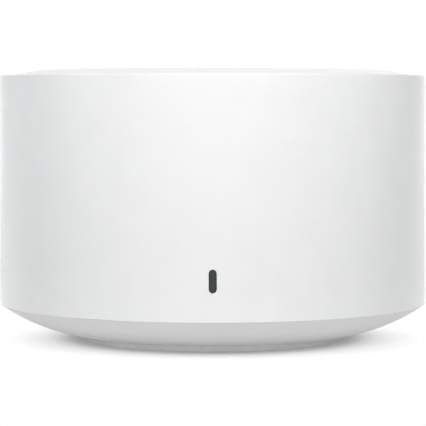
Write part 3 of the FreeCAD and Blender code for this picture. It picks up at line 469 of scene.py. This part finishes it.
def line_window(build, window, outer_edge, inner_edge):
    """The sides of a window, from the outer skin over a rounded mouth to the inner skin."""
    bend = window["round"]
    mouth = hole_loop(build, window, OUTER, bend, 0, 1)
    loops = [between(build, outer_edge, mouth, share, OUTER, 1) for share in MOUTH_SHARES]
    loops = [outer_edge, *loops, mouth]
    for k in range(1, MOUTH_STEPS + 1):
        turn = math.pi / 2 * k / MOUTH_STEPS
        radius = OUTER - bend * (1 - math.cos(turn))
        loops.append(hole_loop(build, window, radius, bend * (1 - math.sin(turn)), turn, 1))
    loops.append(hole_loop(build, window, INNER + INSIDE_CHAMFER, 0, math.pi / 2, 1))
    edge = hole_loop(build, window, INNER, INSIDE_CHAMFER, 0, -1)
    loops += [edge, between(build, edge, inner_edge, 0.5, INNER, -1), inner_edge]
    build.skin(loops)


def make_drum_shell(material):
    """The side wall with its rounded rim, the ledge inside it, and soft-edged openings."""
    build = Build()
    outer_low, outer_high = CREASE + CREASE_ROUND, RIM - RIM_ROUND
    outer, outer_edges = wall_skin(build, OUTER, outer_low, outer_high, 1)
    inner, inner_edges = wall_skin(build, INNER, INNER_LOW, LEDGE_FOOT, -1)
    for window, outer_edge, inner_edge in zip(WINDOWS, outer_edges, inner_edges):
        line_window(build, window, outer_edge, inner_edge)
    # where an outline starts or ends on a skin, the skin's own end loop stands in for its points
    top = rounded(
        [
            (OUTER, outer_high - 1, 0),
            (OUTER, RIM, RIM_ROUND),
            (LIP, RIM, 0.15),
            (LIP, LEDGE_TOP, 0.1),
            (LEDGE, LEDGE_TOP, 0.15),
            (LEDGE, LEDGE_UNDER, 0.15),
            (INNER, LEDGE_FOOT, 0.3),
            (INNER, LEDGE_FOOT - 1, 0),
        ],
        closed=False,
    )
    build.skin([outer[-1], *spun(build, top[2:-2]), inner[-1]])
    foot = rounded(
        [
            (INNER, INNER_LOW, 0),
            (INNER, CREASE, 0.1),
            (OUTER, CREASE, CREASE_ROUND),
            (OUTER, outer_low + 1, 0),
        ],
        closed=False,
    )
    build.skin([inner[0], *spun(build, foot[1:-2]), outer[0]])
    return build.make("wall", material, replaces=["drum_shell"])


# ---------------------------------------------------------------- top cover


def arch(radius, bend, top):
    """Height of the cover's top or underside at a radius past PLATE_TURN."""
    return top - (bend - math.sqrt(bend ** 2 - (radius - PLATE_TURN) ** 2))


def arch_profile(start, end, pieces, bend, top, side):
    """Profile points of the cover's curved part. side is 1 for its top and -1 for its underside."""
    points = []
    for k in range(pieces + 1):
        radius = start + (end - start) * k / pieces
        lean = (radius - PLATE_TURN) / bend
        normal = (side * lean, side * math.sqrt(1 - lean ** 2))
        points.append((radius, arch(radius, bend, top), *normal))
    return points


def vent(build, cx, cy):
    """One vent with a softened mouth. Returns its loops in the cover's top and in its underside."""
    stations = []
    for turn in (0, math.pi / 4, math.pi / 2):
        s, c = math.sin(turn), math.cos(turn)
        stations.append((VENT + VENT_ROUND * (1 - s), CROWN - VENT_ROUND * (1 - c), -s, c))
    stations.append((VENT, COVER_UNDER + VENT_CHAMFER, -1, 0))
    stations.append((VENT + VENT_CHAMFER, COVER_UNDER, 0, -1))
    ways = circle(VENT_STEPS)
    loops = []
    for radius, z, across, up in stations:
        places = [(cx + radius * x, cy + radius * y, z) for x, y in ways]
        loops.append(build.loop(places, [(x * across, y * across, up) for x, y in ways]))
    build.skin(loops)
    return loops[0], loops[-1]


def plate(build, rim, holes):
    """Fills a level plate between a rim loop and hole loops, all already in build."""
    ids = list(rim)
    edges = [(k, (k + 1) % len(rim)) for k in range(len(rim))]
    owner = [-1] * len(rim)
    for number, hole in enumerate(holes):
        start = len(ids)
        ids += hole
        owner += [number] * len(hole)
        edges += [(start + k, start + (k + 1) % len(hole)) for k in range(len(hole))]
    spots = [Vector([c / MM for c in build.points[i][:2]]) for i in ids]
    _, _, faces, sources, _, _ = delaunay_2d_cdt(spots, edges, [], 0, 1e-5, True)
    origin = [source[0] for source in sources]
    for face in faces:
        owners = {owner[origin[v]] for v in face}
        if len(owners) == 1 and owners != {-1}:
            continue
        build.faces.append(tuple(ids[origin[v]] for v in face))


def make_top_cover(material):
    """The crowned cap with its rings of vents, and the skirt that stands inside the ledge."""
    build = Build()
    upper, lower = [], []
    for ring in range(1, VENT_RINGS + 1):
        for x, y in circle(FIRST_VENTS * ring):
            top, under = vent(build, VENT_PITCH * ring * x, VENT_PITCH * ring * y)
            upper.append(top)
            lower.append(under)
    edge_height = arch(COVER_EDGE, CROWN_BEND, CROWN)
    # the first and last corners only give the outline its direction there, and are left out again
    corners = rounded(
        [
            (SKIRT_INNER - 0.5, SKIRT_TOP + 0.12, 0),
            (SKIRT_INNER, SKIRT_TOP, 0.2),
            (SKIRT_INNER, SKIRT_LOW, 0.2),
            (SKIRT, SKIRT_LOW, 0.2),
            (SKIRT, LEDGE_TOP, 0.1),
            (COVER_EDGE, LEDGE_TOP, 0.15),
            (COVER_EDGE, edge_height, 0.25),
            (COVER_EDGE - 0.95, edge_height + 0.3125, 0),
        ],
        closed=False,
    )[1:-1]
    under_bend = CROWN_BEND - COVER_THICK
    profile = [
        (VENT_FIELD, COVER_UNDER, 0, -1),
        *arch_profile(PLATE_TURN, UNDER_EDGE, 6, under_bend, COVER_UNDER, -1),
        *corners,
        *arch_profile(CROWN_EDGE, PLATE_TURN, 12, CROWN_BEND, CROWN, 1),
        (VENT_FIELD, CROWN, 0, 1),
    ]
    loops = spun(build, profile)
    build.skin(loops)
    plate(build, loops[0], lower)
    plate(build, loops[-1], upper)
    return build.make("cap", material, replaces=["top_cover"])


# ---------------------------------------------------------------- small turned and extruded pieces


def make_foot(material):
    """The soft ring, with rounded edges and a shallow groove in its tread."""
    build = Build()
    outline = rounded(
        [
            (FOOT_INNER, 0.0, 0.45),
            (GROOVE_INNER, 0.0, 0.15),
            (GROOVE_INNER + GROOVE_SLOPE, GROOVE_DEPTH, 0.15),
            (GROOVE_OUTER - GROOVE_SLOPE, GROOVE_DEPTH, 0.15),
            (GROOVE_OUTER, 0.0, 0.15),
            (FOOT_OUTER - 0.4, 0.0, 0.4),
            (FOOT_OUTER, FOOT_HEIGHT, 0.1),
            (FOOT_INNER, FOOT_HEIGHT, 0.1),
        ]
    )
    loops = spun(build, outline)
    build.skin([*loops, loops[0]])
    return build.make("foot", material, replaces=["foot_ring"])


def round_edge(front, facing, bend, pieces):
    """Stations from a block's side to its front face."""
    line = []
    for k in range(pieces + 1):
        turn = math.pi / 2 * k / pieces
        s, c = math.sin(turn), math.cos(turn)
        line.append((front - facing * bend * (1 - s), -bend * (1 - c), c, facing * s))
    return line


def prism(build, outline, stations, middle, front):
    """A closed block: loops of an outline in x and z along y, and a point in the middle of each end. A
    station is (y, spread, share of the normal across, along)."""
    loops = []
    for y, spread, across, along in stations:
        places = [(x + nx * spread, y, z + nz * spread) for x, z, nx, nz in outline]
        normals = [(nx * across, along, nz * across) for _, _, nx, nz in outline]
        loops.append(build.loop(places, normals))
    build.skin(loops)
    x, z = middle
    back = stations[0][0]
    facing = math.copysign(1, front - back)
    build.fan(loops[0], build.point((x, back, z), (0, -facing, 0)))
    build.fan(loops[-1], build.point((x, front, z), (0, facing, 0)))


def pill_block(build, middle, shape, steps, lean, back, front, bend, pieces=4):
    """A pill-shaped block, with a round edge in front and a small chamfer behind."""
    facing = math.copysign(1, front - back)
    chamfer = 0.05
    stations = [(back, -chamfer, 0, -facing), (back + chamfer * facing, 0, 1, 0)]
    stations += round_edge(front, facing, bend, pieces)
    prism(build, pill_loop(middle, *shape, *steps, lean), stations, middle, front)


def make_lens(material):
    """The status window: a polished plug with a round edge, on its hidden flange."""
    build = Build()
    middle = (0.0, SLOT_HEIGHT)
    pill_block(build, middle, PLUG, (12, 16), 0.34, PLUG_BACK, PLUG_FRONT, 0.22)
    pill_block(build, middle, FLANGE, (8, 12), 0.25, FLANGE_BACK, FLANGE_FRONT, 0.1)
    return build.make("window", material, replaces=["led_lens"])


def make_button(material):
    """The pairing button: a round cap with a soft edge and a shallow dish, on its collar."""
    build = Build()
    x, z = BUTTON
    ways = circle(BUTTON_STEPS)
    outline = [(x + BUTTON_RADIUS * c, z + BUTTON_RADIUS * s, c, s) for c, s in ways]
    stations = [
        (BUTTON_BACK, -1.0, 0, -1),
        (BUTTON_BACK, COLLAR - COLLAR_CHAMFER, 0, -1),
        (BUTTON_BACK + COLLAR_CHAMFER, COLLAR, 1, 0),
        (COLLAR_FACE - COLLAR_CHAMFER, COLLAR, 1, 0),
        (COLLAR_FACE, COLLAR - COLLAR_CHAMFER, 0, 1),
        (COLLAR_FACE, 0.1, 0, 1),
        (COLLAR_FACE + 0.1, 0, 1, 0),
        *round_edge(BUTTON_FACE, 1, BUTTON_ROUND, 5),
    ]
    wide, dish_steps = BUTTON_RADIUS - BUTTON_ROUND - 0.1, 6
    for k in range(dish_steps):
        away = wide * (1 - k / dish_steps)
        depth = BUTTON_DISH * (1 - (away / wide) ** 2)
        slope = 2 * BUTTON_DISH * away / wide ** 2
        stations.append((BUTTON_FACE - depth, away - BUTTON_RADIUS, -slope, 1))
    prism(build, outline, stations, BUTTON, BUTTON_FACE - BUTTON_DISH)
    return build.make(
        "pair_cap", material, body="pair_button", replaces=["pair_button"]
    )


def make_port_lamps(amber, green):
    """A small lamp window, amber on one side and green on the other, in each upper corner of both network
    sockets.
    """
    for socket, x in SOCKETS.items():
        for side, material, color in ((-1, amber, "amber"), (1, green, "green")):
            build = Build()
            middle = (x + side * LAMP_SIDE, LAMP_HEIGHT)
            pill_block(build, middle, LAMP, (8, 8), 0.25, LAMP_BACK, LAMP_FRONT, 0.1, 3)
            build.make(f"lan_{socket}_lamp_{color}", material)


# ---------------------------------------------------------------- materials

# What a look may say besides color, rough (roughness) and grain (size and depth of the surface grain):
#   metal     1 for bare metal
#   tint      how far the colour varies, and cloud, the size of that variation
#   spread    how far the roughness varies
#   second    size and depth of a coarser grain
#   brushed   stretch of the grain along x, y and z
#   pattern   a function that replaces the plain colour
#   sockets   values set on the shader
# Sizes and depths are in millimetres.
LOOK_DEFAULTS = {"metal": 0, "tint": 0.03, "cloud": 6, "spread": 0.06, "sockets": {}}
LAMP_COAT = {"Coat Weight": 0.3, "Coat Roughness": 0.1}
LOOKS = {
    "white_shell": dict(
        color=(0.88, 0.88, 0.88), rough=0.44, tint=0.012, grain=(0.16, 0.0016), second=(1.4, 0.0006)
    ),
    "white_cover": dict(
        color=(0.86, 0.86, 0.86), rough=0.52, tint=0.012, grain=(0.2, 0.003), second=(1.4, 0.002)
    ),
    "white_base": dict(
        color=(0.86, 0.86, 0.862), rough=0.5, tint=0.015, grain=(0.2, 0.003), second=(1.6, 0.003)
    ),
    "panel_plastic": dict(
        color=(0.82, 0.82, 0.822), rough=0.5, tint=0.015, grain=(0.18, 0.003), second=(1.4, 0.002)
    ),
    "button_plastic": dict(color=(0.56, 0.57, 0.58), rough=0.36, tint=0.015, grain=(0.14, 0.0012)),
    "foot_rubber": dict(
        color=(0.70, 0.70, 0.70), rough=0.7, tint=0.05, cloud=3, grain=(0.12, 0.006),
        second=(2.2, 0.006), sockets={"Sheen Weight": 0.15, "Sheen Roughness": 0.5},
    ),
    "label_film": dict(color=(0.78, 0.78, 0.77), rough=0.33, tint=0.02, grain=(0.1, 0.0008)),
    "smoked_window": dict(
        color=(0.031, 0.0345, 0.0385), rough=0.24, spread=0.03, tint=0.15, cloud=2,
        grain=(0.5, 0.0006), sockets={"Specular IOR Level": 0.3},
    ),
    "clear_guide": dict(
        color=(0.86, 0.88, 0.88), rough=0.12, tint=0.02, grain=(0.6, 0.0008),
        sockets={"Transmission Weight": 0.75},
    ),
    "lamp_body": dict(color=(0.88, 0.86, 0.72), rough=0.3, tint=0.04, grain=(0.08, 0.001)),
    "board_laminate": dict(
        color=(0.018, 0.14, 0.075), rough=0.38, pattern="tracks", grain=(0.5, 0.004)
    ),
    "chip_black": dict(
        color=(0.03, 0.03, 0.032), rough=0.55, tint=0.25, cloud=1, grain=(0.09, 0.004)
    ),
    "ferrite_grey": dict(
        color=(0.13, 0.13, 0.14), rough=0.6, tint=0.2, cloud=1, grain=(0.12, 0.008)
    ),
    "capacitor_can": dict(
        color=(0.74, 0.74, 0.75), rough=0.24, metal=1, grain=(0.12, 0.001), brushed=(1, 1, 0.05)
    ),
    "tinned_steel": dict(
        color=(0.68, 0.68, 0.66), rough=0.32, metal=1, tint=0.08, grain=(0.15, 0.002),
        brushed=(0.06, 1, 1),
    ),
    "thermal_pad": dict(
        color=(0.45, 0.52, 0.62), rough=0.75, tint=0.12, cloud=1, grain=(0.15, 0.01)
    ),
    "sink_aluminium": dict(
        color=(0.60, 0.61, 0.62), rough=0.38, metal=1, tint=0.06, grain=(0.1, 0.002),
        brushed=(1, 0.03, 1),
    ),
    "pin_nylon": dict(color=(0.06, 0.06, 0.065), rough=0.5, tint=0.2, grain=(0.1, 0.003)),
    "plate_aluminium": dict(
        color=(0.70, 0.71, 0.72), rough=0.34, metal=1, tint=0.06, grain=(0.12, 0.0015),
        brushed=(0.04, 1, 1),
    ),
    "socket_plastic": dict(
        color=(0.022, 0.022, 0.024), rough=0.46, tint=0.25, cloud=2, grain=(0.12, 0.004)
    ),
    "contact_gold": dict(
        color=(0.86, 0.60, 0.22), rough=0.22, metal=1, tint=0.1, cloud=1, grain=(0.08, 0.001),
        brushed=(1, 0.06, 1),
    ),
    "socket_steel": dict(
        color=(0.66, 0.65, 0.62), rough=0.3, metal=1, tint=0.08, cloud=2, grain=(0.1, 0.0015),
        brushed=(1, 0.05, 1),
    ),
    "tongue_plastic": dict(color=(0.03, 0.03, 0.033), rough=0.45, tint=0.2, grain=(0.08, 0.002)),
    "switch_plastic": dict(color=(0.04, 0.04, 0.042), rough=0.5, tint=0.2, grain=(0.1, 0.003)),
    "stem_plastic": dict(color=(0.62, 0.60, 0.55), rough=0.4, tint=0.05, grain=(0.1, 0.002)),
    "carrier_plastic": dict(color=(0.70, 0.70, 0.69), rough=0.5, tint=0.03, grain=(0.2, 0.004)),
    "antenna_laminate": dict(
        color=(0.20, 0.26, 0.13), rough=0.48, pattern="weave", grain=(0.3, 0.003)
    ),
    "copper_trace": dict(
        color=(0.88, 0.46, 0.26), rough=0.3, metal=1, tint=0.12, cloud=2, grain=(0.1, 0.001)
    ),
    "coax_jacket": dict(color=(0.05, 0.05, 0.055), rough=0.42, tint=0.15, grain=(0.15, 0.004)),
    "screw_steel": dict(
        color=(0.62, 0.62, 0.63), rough=0.28, metal=1, tint=0.1, cloud=1, grain=(0.08, 0.0015)
    ),
    "port_lamp_amber": dict(
        color=(0.75, 0.42, 0.10), rough=0.25, tint=0.1, cloud=1, grain=(0.3, 0.001),
        sockets=LAMP_COAT,
    ),
    "port_lamp_green": dict(
        color=(0.22, 0.55, 0.20), rough=0.25, tint=0.1, cloud=1, grain=(0.3, 0.001),
        sockets=LAMP_COAT,
    ),
}
NOISE_LOW, NOISE_HIGH = 0.3, 0.7  # where most of a noise texture's values lie
# patterns, per metre: board lanes, pads on them, and glass cloth
LANE_SCALE, PAD_SCALE, CLOTH_SCALE = 300, 240, 700
PAD_COLOR = (0.62, 0.52, 0.30, 1)


def noise(tree, vector, size_mm, detail=2.0):
    node = tree.nodes.new("ShaderNodeTexNoise")
    node.inputs["Scale"].default_value = 1000 / size_mm
    node.inputs["Detail"].default_value = detail
    tree.links.new(vector, node.inputs["Vector"])
    return node.outputs["Fac"]


def ramp(tree, factor, stops):
    node = tree.nodes.new("ShaderNodeValToRGB")
    elements = node.color_ramp.elements
    while len(elements) < len(stops):
        elements.new(0.5)
    for element, (position, color) in zip(elements, stops):
        element.position = position
        element.color = (*color, 1)
    tree.links.new(factor, node.inputs["Fac"])
    return node.outputs["Color"]


def shaded(color, factor):
    return tuple(min(1.0, c * factor) for c in color)


def tracks(tree, vector, color):
    """Board mask over copper tracks and small pads."""
    lanes = tree.nodes.new("ShaderNodeTexBrick")
    lanes.inputs["Scale"].default_value = LANE_SCALE
    lanes.inputs["Mortar Size"].default_value = 0.06
    lanes.inputs["Color1"].default_value = (*color, 1)
    lanes.inputs["Color2"].default_value = (*shaded(color, 0.85), 1)
    lanes.inputs["Mortar"].default_value = (*shaded(color, 1.7), 1)
    tree.links.new(vector, lanes.inputs["Vector"])
    dots = tree.nodes.new("ShaderNodeTexVoronoi")
    dots.inputs["Scale"].default_value = PAD_SCALE
    tree.links.new(vector, dots.inputs["Vector"])
    mask = ramp(tree, dots.outputs["Distance"], [(0.10, (1, 1, 1)), (0.13, (0, 0, 0))])
    mix = tree.nodes.new("ShaderNodeMix")
    mix.data_type = "RGBA"
    tree.links.new(mask, mix.inputs["Factor"])
    tree.links.new(lanes.outputs["Color"], mix.inputs[6])
    mix.inputs[7].default_value = PAD_COLOR
    return mix.outputs[2]


def weave(tree, vector, color):
    """Glass cloth showing faintly through laminate."""
    cross = tree.nodes.new("ShaderNodeMath")
    cross.operation = "MULTIPLY"
    for k, direction in enumerate(("X", "Z")):
        wave = tree.nodes.new("ShaderNodeTexWave")
        wave.bands_direction = direction
        wave.inputs["Scale"].default_value = CLOTH_SCALE
        wave.inputs["Distortion"].default_value = 1.5
        tree.links.new(vector, wave.inputs["Vector"])
        tree.links.new(wave.outputs["Fac"], cross.inputs[k])
    return ramp(tree, cross.outputs[0], [(0.0, shaded(color, 0.8)), (1.0, shaded(color, 1.2))])


PATTERNS = {"tracks": tracks, "weave": weave}


def clouded(tree, vector, look):
    """The look's colour, a little darker and lighter in soft patches."""
    cloud = noise(tree, vector, look["cloud"], 5)
    dark, light = (shaded(look["color"], 1 + side * look["tint"]) for side in (-1, 1))
    return ramp(tree, cloud, [(NOISE_LOW, dark), (NOISE_HIGH, light)])


def new_material(name, look):
    """A principled material with clouded colour, varied roughness and one or two depths of grain."""
    look = {**LOOK_DEFAULTS, **look}
    material = bpy.data.materials.new(name)
    material.use_nodes = True
    tree = material.node_tree
    shader = tree.nodes["Principled BSDF"]
    shader.inputs["Metallic"].default_value = look["metal"]
    for socket, value in look["sockets"].items():
        shader.inputs[socket].default_value = value
    place = tree.nodes.new("ShaderNodeTexCoord").outputs["Object"]
    if "pattern" in look:
        color = PATTERNS[look["pattern"]](tree, place, look["color"])
    else:
        color = clouded(tree, place, look)
    tree.links.new(color, shader.inputs["Base Color"])
    stretched = place
    if "brushed" in look:
        mapping = tree.nodes.new("ShaderNodeMapping")
        mapping.inputs["Scale"].default_value = look["brushed"]
        tree.links.new(place, mapping.inputs["Vector"])
        stretched = mapping.outputs["Vector"]
    size, depth = look["grain"]
    grain = noise(tree, stretched, size)
    rough = tree.nodes.new("ShaderNodeMapRange")
    rough.inputs["From Min"].default_value = NOISE_LOW
    rough.inputs["From Max"].default_value = NOISE_HIGH
    rough.inputs["To Min"].default_value = max(0.02, look["rough"] - look["spread"])
    rough.inputs["To Max"].default_value = min(1.0, look["rough"] + look["spread"])
    tree.links.new(grain, rough.inputs["Value"])
    tree.links.new(rough.outputs["Result"], shader.inputs["Roughness"])
    layers = [(grain, depth)]
    if "second" in look:
        size, depth = look["second"]
        layers.insert(0, (noise(tree, place, size, 3), depth))
    normal = None
    for height, depth in layers:
        bump = tree.nodes.new("ShaderNodeBump")
        bump.inputs["Distance"].default_value = depth * MM
        tree.links.new(height, bump.inputs["Height"])
        if normal:
            tree.links.new(normal, bump.inputs["Normal"])
        normal = bump.outputs["Normal"]
    tree.links.new(normal, shader.inputs["Normal"])
    return material


# ---------------------------------------------------------------- the CAD nodes

SMOOTH_BELOW = math.radians(30)
SOFTEN_ABOVE = math.radians(50)
# nodes whose sharp edges get a small rounded edge: width in mm
SOFT_EDGES = {
    "port_bezel": 0.18,
    "lan_jack_one_shield": 0.08,
    "lan_jack_two_shield": 0.08,
    "lan_jack_one_insert": 0.12,
    "lan_jack_two_insert": 0.12,
    "power_jack_shell": 0.08,
    "power_jack_tongue": 0.1,
    "pair_switch_body": 0.15,
    "reset_switch_body": 0.15,
    "soc_chip": 0.1,
    "memory_chips": 0.1,
    "radio_chips": 0.1,
    "lan_transformers": 0.15,
    "power_inductors": 0.3,
    "board_capacitors": 0.2,
    "heat_sink": 0.12,
    "case_screws": 0.1,
}


def paint_nodes(looks):
    """Gives each CAD node its slot's finish and smooth shading, and soft edges where they show."""
    for part in frame["record"]["subparts"]:
        node = nodes[part["node"]]
        mesh = node.data
        mesh.materials.clear()
        mesh.materials.append(looks[part["material_slot"]])
        mesh.shade_smooth()
        mesh.set_sharp_from_angle(angle=SMOOTH_BELOW)
        if part["node"] in SOFT_EDGES:
            soft = node.modifiers.new("soft_edges", "BEVEL")
            soft.width = SOFT_EDGES[part["node"]] * MM
            soft.segments = 2
            soft.limit_method = "ANGLE"
            soft.angle_limit = SOFTEN_ABOVE
            soft.harden_normals = True
            soft.miter_outer = "MITER_ARC"


# ---------------------------------------------------------------- the stage

GROUND_REACH = 6
PAPER_COLOR, BOUNCE_COLOR = (0.95, 0.95, 0.95), (0.4, 0.4, 0.4)
BOUNCE_DROP = 0.0002


def ground(name, color, glow):
    """A stage plane with a plain diffuse surface, and a glow that changes away from the middle. Where the
    glow is dim near the middle of the paper, it is a painted contact shadow round the object.
    """
    mesh = bpy.data.meshes.new(name)
    sides = ((-1, -1), (1, -1), (1, 1), (-1, 1))
    corners = [(GROUND_REACH * x, GROUND_REACH * y, 0) for x, y in sides]
    mesh.from_pydata(corners, [], [(0, 1, 2, 3)])
    plane = bpy.data.objects.new(name, mesh)
    scene.collection.objects.link(plane)
    material = bpy.data.materials.new(name)
    material.use_nodes = True
    tree = material.node_tree
    shader = tree.nodes["Principled BSDF"]
    shader.inputs["Base Color"].default_value = (*color, 1)
    shader.inputs["Roughness"].default_value = 0.9
    shader.inputs["Specular IOR Level"].default_value = 0.0
    farthest, strongest = glow[-1][0], max(strength for _, strength in glow)
    place = tree.nodes.new("ShaderNodeTexCoord")
    length = tree.nodes.new("ShaderNodeVectorMath")
    length.operation = "LENGTH"
    tree.links.new(place.outputs["Object"], length.inputs[0])
    share = tree.nodes.new("ShaderNodeMath")
    share.operation = "DIVIDE"
    share.inputs[1].default_value = farthest
    tree.links.new(length.outputs["Value"], share.inputs[0])
    stops = [(far / farthest, (strength / strongest,) * 3) for far, strength in glow]
    tree.links.new(ramp(tree, share.outputs[0], stops), shader.inputs["Emission Color"])
    shader.inputs["Emission Strength"].default_value = strongest
    mesh.materials.append(material)
    plane.visible_shadow = False
    return plane


def make_floor():
    """The paper that the camera and reflections see, with a painted contact shadow in its glow, over the
    duller ground that lights the object.
    """
    # the paper's glow, dim round the foot, is a painted contact shadow
    paper = ground("floor", PAPER_COLOR, FLOOR_GLOW_AND_SHADOW)
    paper.visible_diffuse = False
    bounce = ground("floor_bounce", BOUNCE_COLOR, BOUNCE_GLOW)
    bounce.location.z = -BOUNCE_DROP
    bounce.visible_camera = False
    return paper


scene.view_settings.view_transform = "Standard"
make_camera()
make_world()
body_lights = area_lights(BODY_LIGHTS)
looks = {slot: new_material(slot, look) for slot, look in LOOKS.items()}
paint_nodes(looks)
wall = make_drum_shell(looks["white_shell"])
make_top_cover(looks["white_cover"])
make_foot(looks["foot_rubber"])
make_lens(looks["smoked_window"])
make_button(looks["button_plastic"])
make_port_lamps(looks["port_lamp_amber"], looks["port_lamp_green"])
paper = make_floor()
link_lights(body_lights, "not_floor", paper, "EXCLUDE")
link_lights(area_lights(WALL_LIGHTS, multiple_sampling=False), "wall_only", wall)
link_lights(area_lights(FLOOR_LIGHTS), "only_floor", paper)
